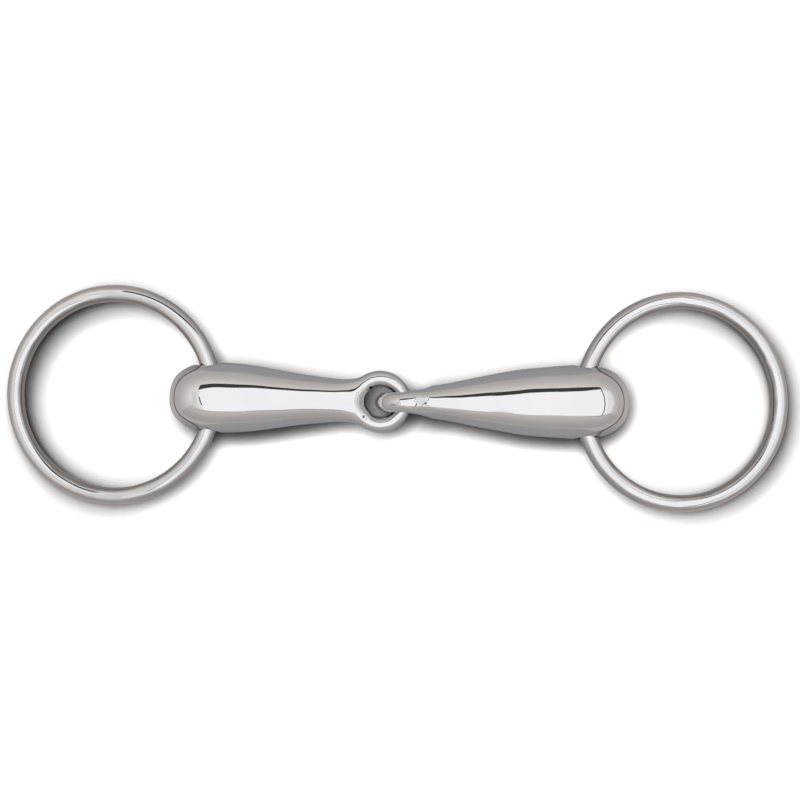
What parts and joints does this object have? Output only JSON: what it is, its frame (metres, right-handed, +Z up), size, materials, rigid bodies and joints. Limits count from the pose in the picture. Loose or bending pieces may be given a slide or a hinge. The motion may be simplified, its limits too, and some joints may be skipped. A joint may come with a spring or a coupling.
{
  "type": "snaffle bit",
  "caption": "Loose-ring snaffle bit: a thick tapered hollow mouthpiece jointed at its middle by linked eyes, with a plain round ring swinging through each domed end.",
  "frame": {"origin": "on the resting plane, under the centre of the footprint of the bit laid out straight", "axes": "+X along the mouthpiece towards the right ring, +Y across it, +Z up from the surface it lies on"},
  "size_m": [0.2636, 0.0763, 0.0246],
  "materials": {
    "polished_steel": "mirror-polished stainless steel, hand buffed",
    "ring_steel": "mirror-polished stainless steel bar",
    "tube_steel": "turned stainless steel, unpolished inside the mouthpiece"
  },
  "bodies": {
    "left_cannon": {"left_cannon": "polished_steel", "left_end_cap": "polished_steel", "left_ring_tube": "tube_steel"},
    "right_cannon": {"right_cannon": "polished_steel", "right_end_cap": "polished_steel", "right_ring_tube": "tube_steel"},
    "left_ring": {"left_ring": "ring_steel"},
    "right_ring": {"right_ring": "ring_steel"}
  },
  "joints": [
    {"name": "centre_fold", "type": "hinge", "parent": "left_cannon", "child": "right_cannon", "pos_m": [0.0017, -0.00125, 0.0103], "axis": [0, 1, 0], "range_deg": [-130, 135]},
    {"name": "left_ring_swing", "type": "hinge", "parent": "left_cannon", "child": "left_ring", "pos_m": [-0.06309, 0.00042, 0.01174], "axis": [-0.0258, -0.9997, 0], "range_deg": [-110, 90]},
    {"name": "right_ring_swing", "type": "hinge", "parent": "right_cannon", "child": "right_ring", "pos_m": [0.06338, -0.00125, 0.0124], "axis": [0, 1, 0], "range_deg": [-155, 155]}
  ]
}
